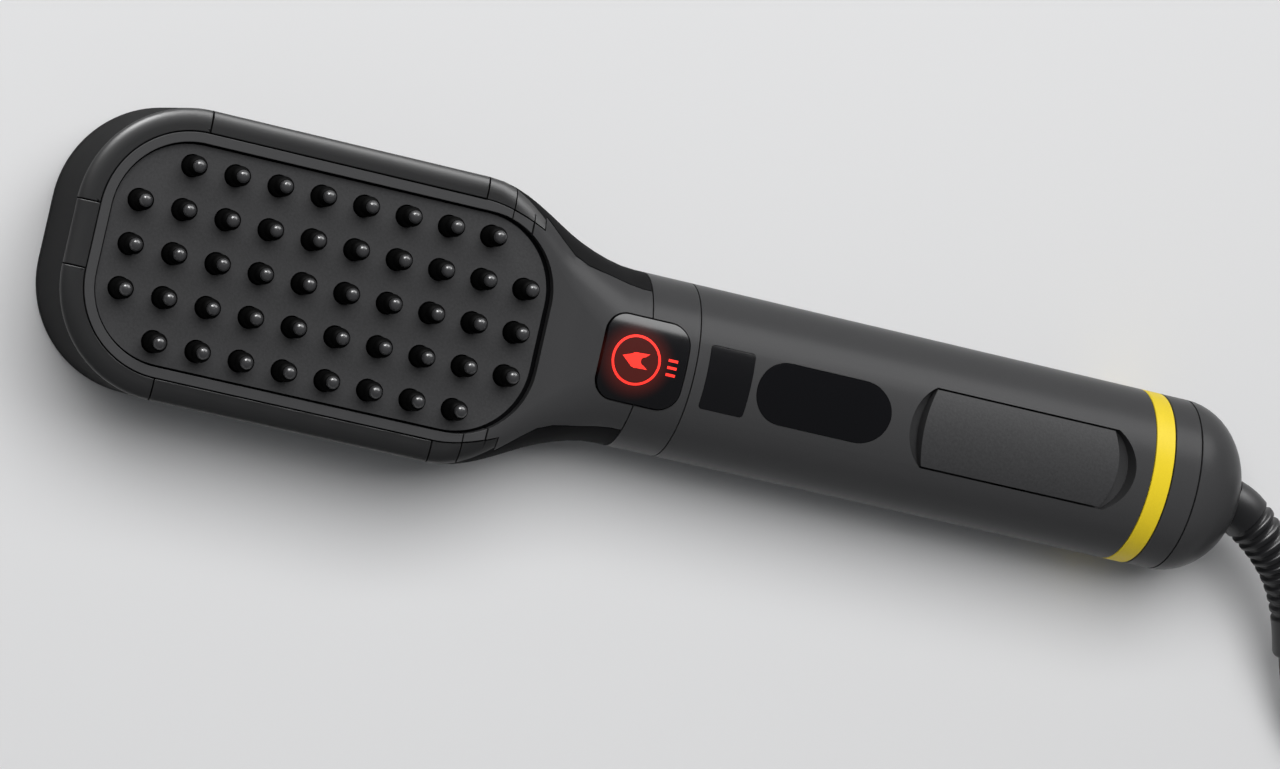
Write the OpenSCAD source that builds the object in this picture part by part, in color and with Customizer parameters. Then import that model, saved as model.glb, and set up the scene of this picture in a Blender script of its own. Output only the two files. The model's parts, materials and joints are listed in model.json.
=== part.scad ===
// Steam hair straightener brush: an oblong heated head with rounded pins, a neck
// that flows into a round handle, and a mains lead with a moulded sleeve.
// The brush lies on its back, face up: X runs from the tip to the tail, Y across,
// Z up. The origin is under the middle of the brush, at the height it rests on.
// Lengths are millimetres. Distances called "s" are measured from the tip.

/* [Head] */
// Width of the head over its rim
head_w = 64.5; // [60:0.5:70]
// Length of the head from the tip to its shoulders
head_len = 88.5; // [80:0.5:100]
// Corner radius of the tip, seen from above
tip_r = 25; // [21:0.5:28]
// Height of the head from its back to the top of the rim
head_h = 35; // [34:0.5:36]
// Thickness of the moulded side walls
wall = 2.4; // [1.8:0.1:3]
// Thickness of the rear cover
rear_t = 3.7; // [3:0.1:4.4]
// Length that the head's rear cover runs past the shoulders
rear_past = 6.7; // [4:0.1:9]

/* [Rim and bezel] */
// Width of the rim, seen from above
rim_w = 5; // [4.4:0.1:5.4]
// Thickness of the rim pieces
rim_t = 2; // [1.6:0.1:2.4]
// Width of the rounded outer part of the rim
rim_round = 3.5; // [2.5:0.1:3.8]
// Width of the bezel between the rim and the face panel
bezel_w = 2.2; // [1.8:0.1:2.6]
// Height of the bezel
bezel_t = 4; // [3.6:0.1:4.3]
// Width of a parting line between two fixed mouldings
seam = 0.3; // [0.2:0.05:0.4]

/* [Face] */
// Gap round the face panel
panel_gap = 0.5; // [0.4:0.05:0.8]
// Extra gap at the neck end of the face panel
panel_end_gap = 0.7; // [0.3:0.05:1]
// Corner radius of the face panel
panel_r = 17; // [14:0.5:18]
// Length that the face panel runs past the shoulders
panel_past = 18.5; // [16:0.5:19]
// Depth of the face panel below the top of the rim
panel_drop = 2; // [1.6:0.1:2.4]
// Thickness of the face panel
panel_t = 1.5; // [1:0.1:1.8]
// Thickness of the heating plate under the face panel
base_t = 4; // [3.4:0.1:4.4]

/* [Pins] */
// Distance between two pins
pin_pitch = 9.8; // [9:0.1:11]
// Diameter of a pin's body
pin_d = 4.5; // [3.6:0.1:5]
// Height of a pin's tip ball above the face panel, at its centre
pin_h = 8.5; // [7.5:0.1:9.5]
// Diameter of a pin's tip ball
ball_d = 2.9; // [2.4:0.1:3.2]
// Steam gap round a pin in the face panel
steam_gap = 0.3; // [0.2:0.05:0.5]
// Least distance from the edge of the face panel to a pin's axis
pin_margin = 4.6; // [4:0.1:5]

/* [Neck and handle] */
// Outside diameter of the handle
grip_d = 40; // [39:0.5:41]
// Length over which the head narrows to the handle
neck_len = 40; // [36:0.5:50]
// Length of the round part of the neck before the collar
neck_end = 2.4; // [1:0.1:4]
// Length of the collar between the neck and the handle
collar_len = 11.4; // [11:0.1:14]
// Bore of the neck and the collar
collar_bore = 27.2; // [26.6:0.1:28]
// Length of the handle's tube
grip_len = 111.1; // [109:0.1:125]
// Wall of the handle's tube
grip_wall = 2.4; // [2:0.1:2.8]
// Length of the coloured ring
ring_len = 4.9; // [3:0.1:7]
// Length of the end band
band_len = 6.6; // [5:0.1:9]
// Length of the rounded end
dome_len = 16.7; // [15:0.1:20]

/* [Power button] */
// Length and width of the button's pad
pad_w = 19.2; // [17:0.1:20]
// Corner radius of the pad
pad_r = 4.5; // [3:0.1:6]
// Height of the pad over the handle's surface
pad_proud = 0.4; // [0.2:0.1:0.8]
// Distance from the pad's middle to the neck's end
pad_back = 0.5; // [0:0.1:1.5]
// Clearance between the pad and its pocket
pad_gap = 0.35; // [0.3:0.05:0.5]
// Travel of the button
pad_travel = 0.7; // [0.4:0.1:0.8]
// Radius of the lit ring on the pad
lens_r = 5.65; // [4.5:0.05:6]

/* [Display and controls] */
// Distance from the collar to the middle of the bare inlay plate
inlay_off = 8.1; // [7:0.1:9]
// Length of the inlay plate along the handle
inlay_len = 10.4; // [8:0.1:11]
// Width of the inlay plate across the handle
inlay_w = 14.4; // [12:0.1:16]
// Distance from the collar to the middle of the display window
window_off = 31; // [30:0.1:33]
// Length of the display window
window_len = 32; // [28:0.5:33]
// Width of the display window
window_w = 14; // [12:0.5:15]
// Distance from the collar to the middle of the steam control's recess
recess_off = 79.5; // [78:0.1:82]
// Length of the recess
recess_len = 55.2; // [52:0.1:56]
// Width of the recess
recess_w = 18.6; // [17:0.1:20]
// Radius of the recess's end arcs
recess_end_r = 10.9; // [10.5:0.1:16]
// Length of the rocking plate
rocker_len = 47.35; // [44:0.05:48]
// Clearance between the rocking plate and the recess's sides
rocker_gap = 0.45; // [0.25:0.05:0.5]
// Radius of the rocking plate's ends
rocker_end_r = 22; // [16:0.5:30]
// Diameter of the rocking plate's hinge pin
hinge_d = 3; // [2.5:0.1:3.4]

/* [Cord] */
// Diameter of the mains cord
cord_d = 6.5; // [5.5:0.1:7]
// Diameter of the cord sleeve's collar
sleeve_d = 12.2; // [11:0.1:13]
// Diameter of the cord sleeve's end
sleeve_end_d = 9.2; // [8.4:0.1:10]
// Number of ribs on the cord sleeve
sleeve_ribs = 10; // [6:1:12]
// Outer radius of the coil's centre line
coil_r = 41.75; // [40:0.25:46]
// Sideways distance between two turns of the coil
coil_pitch = 7.3; // [7:0.1:8]
// Height distance between two layers of the coil
coil_layer = 7.3; // [7:0.1:8]

/* [Hidden] */
$fn = 96;

eps = 0.02;
fit = 0.2;          // gap of a seated inner piece
run = 0.06;         // radial running clearance
far = 200;          // size of a cutting block

// Places along the brush, from the tip
neck_s = head_len + neck_len + neck_end;
collar_s = neck_s + collar_len;
grip_s = collar_s + grip_len;
ring_s = grip_s + ring_len;
band_s = ring_s + band_len;
total_len = band_s + dome_len;
rear_s = head_len + rear_past;
bezel_s = rear_s;
rim_mid_s = head_len + 11.8;
rim_end_s = head_len + 14.7;
panel_inset = rim_w + seam / 2 + bezel_w + panel_gap;
panel_s0 = panel_inset;
panel_s1 = head_len + panel_past;
panel_half = head_w / 2 - panel_inset;
pad_s = neck_s - pad_back;
recess_s = collar_s + recess_off;
window_s = collar_s + window_off;
inlay_s = collar_s + inlay_off;

// Heights from the rest face
grip_r = grip_d / 2;
axis_z = grip_r;
bore_r = grip_r - grip_wall;
collar_r = collar_bore / 2;
rim_z = head_h - rim_t;
bezel_z = head_h - bezel_t;
panel_z = head_h - panel_drop;
base_top = panel_z - panel_t;
base_z = base_top - base_t;
ledge_t = 2.5;
ledge_z = base_z - ledge_t;
part_z = rim_z - 1.1;      // parting plane of the neck cover
rear_z = rear_t + seam;    // underside of the side walls

// Water and steam parts in the head
tank_z = rear_t + fit;
tank_h = 12;
sheet_t = 0.6;
chamber_z = tank_z + tank_h + sheet_t + 2 * fit;
heater_h = 2.3;
heater_z = base_z - fit - heater_h;
chamber_h = heater_z - fit - chamber_z;
tank_s0 = 17;
tank_s1 = head_len - 6.5;
tank_w = 46;
chamber_s1 = head_len + 1.5;
pump_s0 = head_len + 22.5;
pump_len = 21;
pump_d = 14;
pump_z = axis_z - collar_r + fit + pump_d / 2;
tube_d = 3.2;
feed_at = [-3, -1.7];      // across and up from the pump's middle
steam_at = [1.5, 5.1];

// Button parts
pad_z = axis_z + grip_r - 3.8;
pad_floor = pad_z - pad_travel - 0.2;
board_t = 1.6;
switch_h = 3.4;
button_board_z = part_z - 0.5 - switch_h - board_t;
plunger_d = 3.4;
plunger_in = 1;

// Handle parts
chassis_z = axis_z - 8.8;
chassis_t = 2;
chassis_w = 30;
chassis_s0 = collar_s + 1.2;
chassis_s1 = grip_s - 2;
post_h = 1.6;
board_z = chassis_z + chassis_t + post_h;
rocker_floor = axis_z + grip_r - 5.6;
rocker_board_z = rocker_floor - 14.4;
rocker_low = rocker_floor + 1.4;
hinge_z = rocker_floor - 3.9;
hub_d = hinge_d + 3.4;
leg_off = 17;
leg_d = 3.4;
rocker_switch_h = 5;
leg_air = 1;

// Pin pattern
pin_cols = floor((panel_s1 - panel_s0 - 2 * pin_margin) / pin_pitch) + 1;
pin_rows = floor((2 * panel_half - 2 * pin_margin) / pin_pitch) + 1;
pin_s0 = (panel_s0 + panel_s1 - (pin_cols - 1) * pin_pitch) / 2;
pin_y0 = -(pin_rows - 1) * pin_pitch / 2;

// Cord: hand-chosen points of its route, from its exit in the dome
exit_x = total_len / 2 - 1.3;
sleeve_route = [
  for (p = [
    [0, -1, 0], [4.7, -2.8, 0], [10.7, -6.9, -0.5], [16.3, -12, -2],
    [21.2, -18.2, -4], [25, -25, -6], [28.1, -32, -8.5]
  ]) [exit_x + p[0], p[1], axis_z + p[2]]
];
coil_at = [exit_x + 83, -20.25, 4.2];
coil_start = coil_at - [0, coil_r, 0];
cord_route = concat([sleeve_route[6] + [0.2, -0.4, -0.1]], [
  for (p = [
    [31.8, -40, 9.4], [37.5, -48, 7.4], [45.5, -54.8, 5.6], [55.5, -59.2, 4.5],
    [66, -61.4, 4.2], [74.5, coil_start[1], 4.2], [82.5, coil_start[1], 4.2]
  ]) [exit_x + p[0], p[1], p[2]]
]);
cord_sides = 8;
coil_sides = 6;
coil_steps = 24;
coil_half = 3;             // turns of the spiral from the edge to the middle
coil_total = 8.5;          // turns in all, in three layers
tie_w = 9;
tie_t = 0.7;
plug_w = 35.3;
plug_t = 13.7;
plug_len = 34;
plug_grip_w = 16;
plug_neck_w = 11;
plug_pin_d = 4;
plug_pin_len = 19;
plug_pin_gap = 18.6;

// ---------------------------------------------------------------- functions

function mix(a, b, t) = a + (b - a) * t;
function clamp01(t) = max(0, min(1, t));
function smooth(t) = let(u = clamp01(t)) u * u * (3 - 2 * u);

// How far the section has turned from the head's box to the handle's circle
function blend(s) = smooth((s - head_len) / neck_len);
function half_width(s) = mix(head_w / 2, grip_r, blend(s));
function top_z(s) = mix(head_h, grip_d, smooth((s - head_len - neck_len * 0.54) / (neck_len * 0.375)));

// One rounded section of the neck: corner radii grow from the rim's to the handle's
function neck_ring(s, inset) =
  let(
    t = blend(s),
    w = half_width(s) - inset,
    top = top_z(s) - inset,
    mid = axis_z,
    ay = mix(rim_round, grip_r, t) - inset * t,
    bt = mix(rim_t, grip_r, t) - inset * t,
    bb = mix(1.2, grip_r, t) - inset * t,
    n = 10
  )
  [for (q = [0:3]) for (k = [0:n - 1])
    let(
      a = 90 * (q + (k + 0.5) / n),
      side = (q == 0 || q == 3) ? 1 : -1,
      up = q < 2,
      ar = up ? ay : mix(1.2, ay, t),
      br = up ? bt : bb
    )
    [s, side * (w - ar) + ar * cos(a), (up ? top - br : inset + br) + br * sin(a)]];

function ring_faces(rings, n) = [
  for (i = [0:rings - 2]) for (j = [0:n - 1])
    let(a = i * n + j, b = i * n + (j + 1) % n, d = a + n, c = b + n)
    each [[a, d, b], [b, d, c]]
];
function cap_faces(rings, n) = [
  for (j = [1:n - 2]) each [
    [0, j, j + 1],
    [(rings - 1) * n, (rings - 1) * n + j + 1, (rings - 1) * n + j]
  ]
];

// Vectors
function unit(v) = v / norm(v);
function way(p, i) = unit(p[min(i + 1, len(p) - 1)] - p[max(i - 1, 0)]);

// Smooth curve through hand-chosen points (Catmull-Rom), m steps a span
function curve_at(p0, p1, p2, p3, t) =
  0.5 * (2 * p1 + (p2 - p0) * t + (2 * p0 - 5 * p1 + 4 * p2 - p3) * t * t
    + (3 * p1 - p0 - 3 * p2 + p3) * t * t * t);
function curve(p, m) = [
  for (i = [0:len(p) - 2]) for (k = [0:m - 1])
    curve_at(p[max(i - 1, 0)], p[i], p[i + 1], p[min(i + 2, len(p) - 1)], k / m),
  p[len(p) - 1]
];

// A ring of points square to the path at point i, with its first point upward
function tube_ring(p, i, r, n) =
  let(
    d = way(p, i),
    side = unit(cross(d, [0, 0, 1])),
    up = cross(side, d)
  )
  [for (j = [0:n - 1]) let(a = 360 * (j + 0.5) / n) p[i] + r * (cos(a) * side + sin(a) * up)];

// Coil: spiral in, climb a layer in half a turn, spiral out, climb and spiral in
function coil_radius(t) =
  coil_r - coil_pitch * (t < 2 * coil_half ? min(t, 2 * coil_half - t) : t - 2 * coil_half);
function coil_height(t) = coil_layer
  * (smooth((t - coil_half + 0.25) / 0.5) + smooth((t - 2 * coil_half + 0.25) / 0.5));
function coil_point(t) =
  coil_at + [coil_radius(t) * sin(360 * t), -coil_radius(t) * cos(360 * t), coil_height(t)];
coil_path = [
  for (i = [0:coil_total * coil_steps]) coil_point(i / coil_steps)
];
// Least gap between two stretches of the coil that lie over half a turn apart
coil_gap = min([
  for (i = [0:len(coil_path) - 1]) for (j = [i + coil_steps / 2:len(coil_path) - 1])
    norm(coil_path[i] - coil_path[j])
]) - cord_d;
echo(coil_gap = coil_gap);

// The cord's end climbs out of the middle of the coil and lies on it with the plug
coil_top = coil_at[2] + 2 * coil_layer + cord_d / 2;
plug_axis_z = coil_top + 0.15 + plug_t / 2;
tail_route = [
  for (p = [
    [-0.5, coil_radius(coil_total), 18.85], [-8.5, 22, 21.2], [-16.6, 17.2, 24.8],
    [-22.8, 9.7, 27.3], [-26, 0.5, 28.6], [-25, -8.8, plug_axis_z],
    [-19, -15.3, plug_axis_z], [-10.5, -17.5, plug_axis_z]
  ]) [coil_at[0] + p[0], coil_at[1] + p[1], p[2]]
];

// ------------------------------------------------------------ shared shapes

module from_tip() {
  translate([-total_len / 2, 0, 0]) children();
}

module tube(p, r, n) {
  polyhedron(
    points = [for (i = [0:len(p) - 1]) each tube_ring(p, i, r, n)],
    faces = concat(ring_faces(len(p), n), cap_faces(len(p), n)),
    convexity = 6
  );
}

// The neck as one lofted solid, from the head's shoulders to the collar
module neck_form() {
  stations = [
    for (i = [0:12]) head_len + neck_len * i / 12,
    neck_s
  ];
  n = len(neck_ring(head_len, 0));
  polyhedron(
    points = [for (s = stations) each neck_ring(s, 0)],
    faces = concat(ring_faces(len(stations), n), cap_faces(len(stations), n)),
    convexity = 4
  );
}

// The head's outline up to its shoulders, drawn in by an inset
module head_2d(inset = 0) {
  half = head_w / 2;
  for (side = [-1, 1])
    translate([tip_r, side * (half - tip_r)]) circle(tip_r - inset);
  translate([inset, -(half - tip_r)]) square([tip_r, 2 * (half - tip_r)]);
  translate([tip_r, -(half - inset)]) square([head_len - tip_r, 2 * (half - inset)]);
}

// The head's outline carried on down the neck
module outline_2d(inset = 0, end = 120) {
  steps = 16;
  lap = 0.5;
  span = end - head_len + lap;
  ss = [for (i = [0:steps]) head_len - lap + span * i / steps];
  head_2d(inset);
  polygon(concat(
    [for (s = ss) [s, half_width(s) - inset]],
    [for (i = [steps:-1:0]) [ss[i], -(half_width(ss[i]) - inset)]]
  ));
}

// The face panel's outline, grown or shrunk all round
module panel_2d(grow = 0, past = 0) {
  r = panel_r + grow;
  for (s = [panel_s0 + panel_r, panel_s1 + past - panel_r])
    for (side = [-1, 1])
      translate([s, side * (panel_half - panel_r)]) circle(r);
  translate([panel_s0 - grow, -(panel_half - panel_r)])
    square([panel_s1 + past - panel_s0 + 2 * grow, 2 * (panel_half - panel_r)]);
  translate([panel_s0 + panel_r, -(panel_half + grow)])
    square([panel_s1 + past - panel_s0 - 2 * panel_r, 2 * (panel_half + grow)]);
}

module slab(z0, z1) {
  translate([0, 0, z0]) linear_extrude(z1 - z0) children();
}

module block(s0, s1, y0, y1, z0, z1) {
  translate([s0, y0, z0]) cube([s1 - s0, y1 - y0, z1 - z0]);
}

// A cylinder along the brush
module rod(s0, s1, d, y = 0, z = axis_z) {
  translate([s0, y, z]) rotate([0, 90, 0]) cylinder(h = s1 - s0, d = d);
}

// A rounded rectangle, centred
module round_rect(l, w, r) {
  for (x = [-1, 1])
    for (y = [-1, 1])
      translate([x * (l / 2 - r), y * (w / 2 - r)]) circle(r);
  square([l - 2 * r, w], center = true);
  square([l, w - 2 * r], center = true);
}

// A slot with round ends, centred
module stadium(l, w) {
  for (x = [-1, 1])
    translate([x * (l - w) / 2, 0]) circle(d = w);
  square([l - w, w], center = true);
}

// A rectangle with bowed ends of a given radius, centred
module bowed(l, w, r) {
  sag = r - sqrt(r * r - w * w / 4);
  square([l - 2 * sag, w], center = true);
  for (x = [-1, 1])
    intersection() {
      translate([x * (l / 2 - r), 0]) circle(r);
      translate([x * l / 4, 0]) square([l / 2, w], center = true);
    }
}

// ---------------------------------------------------------- rim and its kin

// Cross-section of the rim: distance in from the outline, height
function rim_profile() = [
  [rim_w - seam / 2, rim_z],
  [rim_w - seam / 2, head_h],
  for (k = [0:8])
    let(a = 90 - 90 * k / 8)
    [rim_round - rim_round * cos(a), rim_z + seam / 2 + (rim_t - seam / 2) * sin(a)],
  [0.25, rim_z]
];

// A profile led along the tip's straight edge
module along_tip(gap = seam) {
  y = head_w / 2 - tip_r - gap / 2;
  translate([0, y, 0]) rotate([90, 0, 0]) linear_extrude(2 * y) children();
}

// A profile led round a tip corner; side is 1 for +Y
module round_corner(side, gap = seam) {
  give = gap / 2 / (tip_r - rim_w / 2) * 180 / PI;
  translate([tip_r, side * (head_w / 2 - tip_r), 0])
    rotate([0, 0, side > 0 ? 90 + give : 180 + give])
      rotate_extrude(angle = 90 - 2 * give)
        translate([tip_r, 0]) mirror([1, 0]) children();
}

// A profile led along a straight side
module along_side(side, gap = seam) {
  l = head_len - tip_r - gap;
  s = tip_r + gap / 2;
  if (side > 0)
    translate([s, head_w / 2, 0]) rotate([90, 0, 90])
      linear_extrude(l) mirror([1, 0]) children();
  else
    translate([s, -head_w / 2, 0]) rotate([90, 0, 90]) linear_extrude(l) children();
}

module rim_tip() {
  color("dimgray") from_tip() along_tip() polygon(rim_profile());
}

module rim_corner(side) {
  from_tip() round_corner(side) polygon(rim_profile());
}

module rim_corner_right() {
  color("gray") rim_corner(1);
}

module rim_corner_left() {
  color("gray") rim_corner(-1);
}

module rim_rail_right() {
  color("slategray") from_tip() along_side(1) polygon(rim_profile());
}

module rim_rail_left() {
  color("slategray") from_tip() along_side(-1) polygon(rim_profile());
}

// The rim's band beside the neck, between two places along it
module rim_band(side, s0, s1) {
  from_tip() intersection() {
    neck_form();
    difference() {
      block(s0 + seam / 2, s1 - seam / 2, side > 0 ? 0 : -far, side > 0 ? far : 0, rim_z, far);
      slab(0, far) outline_2d(rim_w - seam / 2, neck_s);
    }
  }
}

module rim_shoulder_right() {
  color("dimgray") rim_band(1, head_len, rear_s);
}

module rim_shoulder_left() {
  color("dimgray") rim_band(-1, head_len, rear_s);
}

module rim_end(side) {
  difference() {
    rim_band(side, rear_s, rim_end_s);
    from_tip()
      block(rim_mid_s - seam / 2, rim_mid_s + seam / 2, -far, far, rim_z + rim_t / 2, far);
  }
}

module rim_end_right() {
  color("gray") rim_end(1);
}

module rim_end_left() {
  color("gray") rim_end(-1);
}

module bezel_band(end) {
  difference() {
    outline_2d(rim_w + seam / 2, end);
    panel_2d(panel_gap);
    panel_2d(panel_gap, panel_end_gap);
  }
}

module bezel() {
  color("darkgray") from_tip()
    slab(bezel_z, head_h) bezel_band(bezel_s - seam / 2);
}

module bezel_end(side) {
  from_tip() intersection() {
    slab(bezel_z, head_h - 0.3) bezel_band(rim_end_s);
    block(bezel_s + seam / 2, rim_mid_s - seam / 2,
      side > 0 ? 0 : -far, side > 0 ? far : 0, 0, head_h);
  }
}

module bezel_end_right() {
  color("silver") bezel_end(1);
}

module bezel_end_left() {
  color("silver") bezel_end(-1);
}

// ------------------------------------------------------------- head housing

screw_at = [
  [11, -16], [11, 16], [head_len + 1.5, -24], [head_len + 1.5, 24]
];
boss_d = 7;
screw_d = 2.4;
screw_head_d = 4.6;
screw_head_t = 1.8;
plug_s = 50;
plug_bore = 9;
plug_deep = 5.5;
plug_z = tank_z + tank_h / 2;

module rear_cover() {
  color("darkslategray") from_tip() difference() {
    union() {
      slab(0.8, rear_t) head_2d();
      slab(0, 0.8) head_2d(0.7);
      block(head_len - 1, head_len + 1, -head_w / 2 + 3, head_w / 2 - 3, 1, rear_t - 0.4);
      intersection() {
        neck_form();
        block(head_len - eps, rear_s - seam / 2, -far, far, 0, rear_t);
      }
    }
    for (p = screw_at)
      translate([p[0], p[1], -eps]) {
        cylinder(h = far, d = screw_d + 2 * fit);
        cylinder(h = screw_head_t + 0.5, d = screw_head_d + 2 * fit);
      }
  }
}

module case_screws() {
  color("silver") from_tip() for (p = screw_at)
    translate([p[0], p[1], 0.4]) difference() {
      union() {
        cylinder(h = screw_head_t, d = screw_head_d);
        cylinder(h = 10, d = screw_d);
      }
      translate([-1.5, -0.3, -eps]) cube([3, 0.6, 0.7]);
      translate([-0.3, -1.5, -eps]) cube([0.6, 3, 0.7]);
    }
}

module head_housing() {
  color("steelblue") from_tip() difference() {
    union() {
      slab(rear_z, rim_z) head_2d();
      neck_form();
    }
    // Space for the inner parts, with a ledge that carries the heating plate
    difference() {
      union() {
        slab(rear_z - eps, ledge_z) intersection() {
          outline_2d(wall, head_len + 9.5);
          panel_2d(panel_inset - wall);
        }
      }
      for (p = screw_at)
        translate([p[0], p[1], 0]) cylinder(h = far, d = boss_d);
    }
    slab(ledge_z - eps, base_z + eps) panel_2d(-2.65);
    slab(base_z, far) panel_2d(-0.85);
    slab(bezel_z, far) intersection() {
      outline_2d(rim_w, rim_mid_s);
      translate([-far, -far]) square([far + rim_mid_s, 2 * far]);
    }
    // Seats of the rear cover, the rim and the neck cover
    block(-far, rear_s + seam / 2, -far, far, -far, rear_z);
    block(-far, rim_end_s + seam / 2, -far, far, rim_z, far);
    slab(part_z, far) intersection() {
      outline_2d(rim_w, rim_end_s + 1);
      translate([rim_mid_s - eps, -far]) square(2 * far);
    }
    block(rim_end_s + seam / 2, neck_s + 1, -far, far, part_z, far);
    slab(base_top - eps, far) panel_2d(panel_gap, panel_end_gap);
    // Duct and bore for the tubes, the wires and the pump
    block(head_len + 8, pump_s0, -11.5, 11.5, axis_z - 12, axis_z + 4);
    rod(pump_s0 - 0.5, neck_s + 1, collar_bore);
    block(pad_s - 9, neck_s + 1, -7, 7, axis_z, far);
    for (p = screw_at)
      translate([p[0], p[1], 0]) cylinder(h = 11, d = screw_d + 2 * run);
    translate([plug_s, -head_w / 2 + wall + 1, plug_z]) rotate([90, 0, 0])
      cylinder(h = 20, d = plug_bore + 2 * run);
    block(neck_s - seam / 2, far + neck_s, -far, far, -far, far);
  }
}

// A flush press-in stopper with a nail slot, in line with the tank's filling mouth
module filler_plug() {
  color("black") from_tip()
    translate([plug_s, -head_w / 2, plug_z]) rotate([90, 0, 0]) difference() {
      translate([0, 0, -plug_deep]) cylinder(h = plug_deep, d = plug_bore);
      translate([-2.8, -0.6, -1.2]) cube([5.6, 1.2, 2]);
    }
}

module neck_cover() {
  color("lightsteelblue") from_tip() difference() {
    intersection() {
      neck_form();
      block(rim_mid_s + seam / 2, neck_s - seam / 2, -far, far, part_z + seam, far);
    }
    difference() {
      block(rim_mid_s - 1, rim_end_s + seam / 2, -far, far, 0, far);
      slab(0, far) outline_2d(rim_w + seam / 2, rim_end_s + 1);
    }
    slab(0, far) panel_2d(panel_gap, panel_end_gap);
    slab(0, far) panel_2d(panel_gap);
    translate([pad_s, 0, pad_floor]) linear_extrude(far)
      round_rect(pad_w + 2 * pad_gap, pad_w + 2 * pad_gap, pad_r + pad_gap);
    translate([pad_s, 0, 0]) cylinder(h = far, d = plunger_d + 1);
  }
}

// -------------------------------------------------------- face and its pins

function pin_here(c, r) =
  !((c == 0 || c == pin_cols - 1) && (r == 0 || r == pin_rows - 1));

module at_pins() {
  for (c = [0:pin_cols - 1])
    for (r = [0:pin_rows - 1])
      if (pin_here(c, r))
        translate([pin_s0 + c * pin_pitch, pin_y0 + r * pin_pitch, 0]) children();
}

module face_panel() {
  color("dimgray") from_tip() difference() {
    slab(base_top, panel_z) panel_2d();
    at_pins() cylinder(h = far, d = pin_d + 2 * steam_gap, $fn = 24);
  }
}

module heat_base() {
  color("silver") from_tip() slab(base_z, base_top) panel_2d(-1.15);
}

// A pin's body: straight, then rounded in to the seat of its tip ball
module heat_pins() {
  body = pin_h - 3;
  seat = ball_d / 2 - 0.25;
  color("black") from_tip() at_pins() translate([0, 0, base_top])
    rotate_extrude($fn = 24) polygon(concat(
      [[0, 0], [pin_d / 2, 0]],
      [for (k = [0:5]) let(a = 90 * k / 5)
        [seat + (pin_d / 2 - seat) * cos(a), panel_t + body + 1.9 * sin(a)]],
      [[0, panel_t + body + 1.9]]
    ));
}

module pin_tips() {
  color("gray") from_tip() at_pins() translate([0, 0, panel_z + pin_h])
    difference() {
      sphere(d = ball_d, $fn = 24);
      translate([0, 0, -far - 1.1]) cylinder(h = far, r = far);
    }
}

module heater() {
  color("orangered") from_tip()
    block(20, head_len + 3.5, -6, 6, heater_z, heater_z + heater_h);
}

module thermal_fuse() {
  color("white") from_tip() rod(44, 56, heater_h, 12, heater_z + heater_h / 2);
}

module steam_chamber() {
  color("lightgray") from_tip() difference() {
    slab(chamber_z, chamber_z + chamber_h)
      translate([(20 + chamber_s1) / 2, 0]) round_rect(chamber_s1 - 20, 40, 6);
    rod(chamber_s1 - 3, chamber_s1 + 1, tube_d - 1, steam_at[0], pump_z + steam_at[1]);
  }
}

module insulator_sheet() {
  color("wheat") from_tip()
    block(18, head_len + 2.5, -19, 19, tank_z + tank_h + fit, tank_z + tank_h + fit + sheet_t);
}

module water_tank() {
  mouth = head_w / 2 - wall - 5;
  color("lightblue") from_tip() difference() {
    union() {
      slab(tank_z, tank_z + tank_h)
        translate([(tank_s0 + tank_s1) / 2, 0]) round_rect(tank_s1 - tank_s0, tank_w, 6);
      translate([plug_s, -head_w / 2 + wall + 0.3, plug_z]) rotate([-90, 0, 0])
        cylinder(h = 10, d = tank_h - 0.4);
    }
    translate([plug_s, -head_w / 2, plug_z]) rotate([-90, 0, 0])
      cylinder(h = 12, d = plug_bore + 2 * run);
    rod(tank_s1 - 3, tank_s1 + 1, tube_d - 1, feed_at[0], pump_z + feed_at[1]);
  }
}

module feed_tube() {
  color("lightblue") from_tip() difference() {
    rod(tank_s1, pump_s0, tube_d, feed_at[0], pump_z + feed_at[1]);
    rod(tank_s1 - 1, pump_s0 + 1, tube_d - 1.2, feed_at[0], pump_z + feed_at[1]);
  }
}

module steam_tube() {
  color("white") from_tip() difference() {
    rod(chamber_s1, pump_s0, tube_d, steam_at[0], pump_z + steam_at[1]);
    rod(chamber_s1 - 1, pump_s0 + 1, tube_d - 1.2, steam_at[0], pump_z + steam_at[1]);
  }
}

module steam_pump() {
  color("goldenrod") from_tip() {
    rod(pump_s0, pump_s0 + pump_len - 6, pump_d, 0, pump_z);
    rod(pump_s0 + pump_len - 6, pump_s0 + pump_len, pump_d - 3, 0, pump_z);
  }
}

wire_y = 9.6;
wire_d = 2;
wire_s = head_len + 5.5;

// Two leads from the control board's sockets to the heating plate
module heater_wires() {
  color("red") from_tip() for (side = [-1, 1]) {
    rod(wire_s, collar_s + 9, wire_d, side * wire_y);
    translate([wire_s, side * wire_y, axis_z]) sphere(d = wire_d, $fn = 24);
    translate([wire_s, side * wire_y, axis_z])
      cylinder(h = base_z - fit - axis_z, d = wire_d);
  }
}

// ------------------------------------------------------------------- collar

module collar() {
  s0 = neck_s + seam / 2;
  s1 = collar_s - seam / 2;
  color("slategray") from_tip() difference() {
    rod(s0, s1, grip_d);
    difference() {
      rod(s0 - 1, s1 + 1, collar_bore);
      for (side = [-1, 1])
        block(s1 - 6, s1, side > 0 ? 9.6 : -far, side > 0 ? far : -9.6,
          button_board_z - 1.6, button_board_z);
    }
    translate([pad_s, 0, pad_floor]) linear_extrude(far)
      round_rect(pad_w + 2 * pad_gap, pad_w + 2 * pad_gap, pad_r + pad_gap);
    translate([pad_s, 0, axis_z]) cylinder(h = far, d = plunger_d + 1);
  }
}

module button_board() {
  color("green") from_tip()
    block(pad_s - 8.5, collar_s - 1, -10.5, 10.5, button_board_z, button_board_z + board_t);
}

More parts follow.
